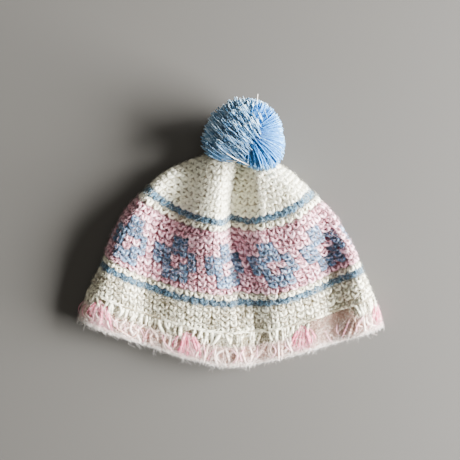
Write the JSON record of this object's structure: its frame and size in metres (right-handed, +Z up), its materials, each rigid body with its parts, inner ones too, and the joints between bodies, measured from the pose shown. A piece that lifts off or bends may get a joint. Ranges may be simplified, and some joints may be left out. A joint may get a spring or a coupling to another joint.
{
  "type": "beanie",
  "caption": "Small child's crocheted beanie lying flat, with stripes, a flower band, a fan edging at the rim and a yarn pompom at the crown.",
  "frame": {"origin": "on the floor under the flat hat, at the middle of the straight line between the rim's two corners", "axes": "+X along the rim to the picture's right, +Y from the rim towards the pompom, +Z up from the floor"},
  "size_m": [0.219, 0.1915, 0.053],
  "materials": {
    "cream_yarn": "soft wool, crocheted",
    "blue_yarn": "soft wool, crocheted",
    "pink_yarn": "soft wool, crocheted, with blue worked in",
    "fan_yarn": "brushed mohair",
    "rim_yarn": "brushed mohair, fuzzy",
    "pompom_yarn": "cut wool ends"
  },
  "bodies": {
    "root": {"pompom": "pompom_yarn", "crown": "cream_yarn", "upper_stripe": "blue_yarn", "upper_cream_round": "cream_yarn", "motif_band": "pink_yarn", "lower_cream_round": "cream_yarn", "lower_stripe": "blue_yarn", "lower_band": "cream_yarn", "cream_shell_1": "cream_yarn", "cream_shell_2": "cream_yarn", "cream_shell_3": "cream_yarn", "cream_shell_4": "cream_yarn", "cream_shell_5": "cream_yarn", "cream_shell_6": "cream_yarn", "cream_shell_7": "cream_yarn", "pink_fan_1": "fan_yarn", "pink_fan_2": "fan_yarn", "pink_fan_3": "fan_yarn", "pink_fan_4": "fan_yarn", "pink_fan_5": "fan_yarn", "pink_fan_6": "fan_yarn", "pink_fan_7": "fan_yarn", "rim_edging": "rim_yarn"}
  },
  "joints": []
}
